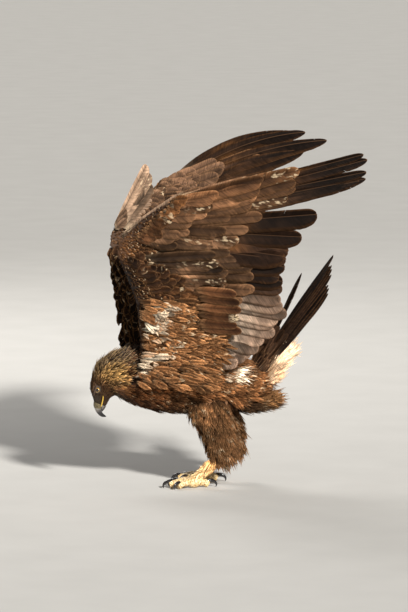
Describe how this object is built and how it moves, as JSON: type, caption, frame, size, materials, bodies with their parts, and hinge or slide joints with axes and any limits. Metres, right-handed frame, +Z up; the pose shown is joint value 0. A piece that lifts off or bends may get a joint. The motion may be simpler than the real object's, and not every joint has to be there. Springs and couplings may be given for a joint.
{
  "type": "golden eagle",
  "caption": "Life-size still model of a golden eagle standing with both wings raised and its head bent down, resting on its feet.",
  "frame": {"origin": "centre of the bounding box in X and Y, at the level of the soles", "axes": "+Z up, the eagle faces -X, its left side is towards -Y"},
  "size_m": [0.6151, 0.9285, 0.815],
  "materials": {
    "plumage": "matt body feathers, warm brown with paler edges",
    "hackle": "golden buff pointed neck feathers",
    "flight_feather": "dark brown flight feathers with a slight sheen",
    "tawny_feather": "soft tawny and buff feathers",
    "yellow_skin": "scaly yellow skin",
    "horn": "smooth dark horn",
    "eye": "wet amber eye"
  },
  "bodies": {
    "root": {"bill_lower": "horn", "bill_upper": "horn", "cere": "yellow_skin", "claw_left_hind": "horn", "claw_left_inner": "horn", "claw_left_middle": "horn", "claw_left_outer": "horn", "claw_right_hind": "horn", "claw_right_inner": "horn", "claw_right_middle": "horn", "claw_right_outer": "horn", "eye_left": "eye", "eye_right": "eye", "foot_left": "yellow_skin", "foot_right": "yellow_skin", "head": "plumage", "neck": "hackle", "tail": "flight_feather", "tarsus_left": "tawny_feather", "tarsus_right": "tawny_feather", "thigh_left": "plumage", "thigh_right": "plumage", "torso": "plumage", "undertail": "tawny_feather", "vent": "plumage", "wing_left_alula": "flight_feather", "wing_left_arm": "plumage", "wing_left_hand": "flight_feather", "wing_right_alula": "flight_feather", "wing_right_arm": "plumage", "wing_right_hand": "flight_feather"}
  },
  "joints": []
}
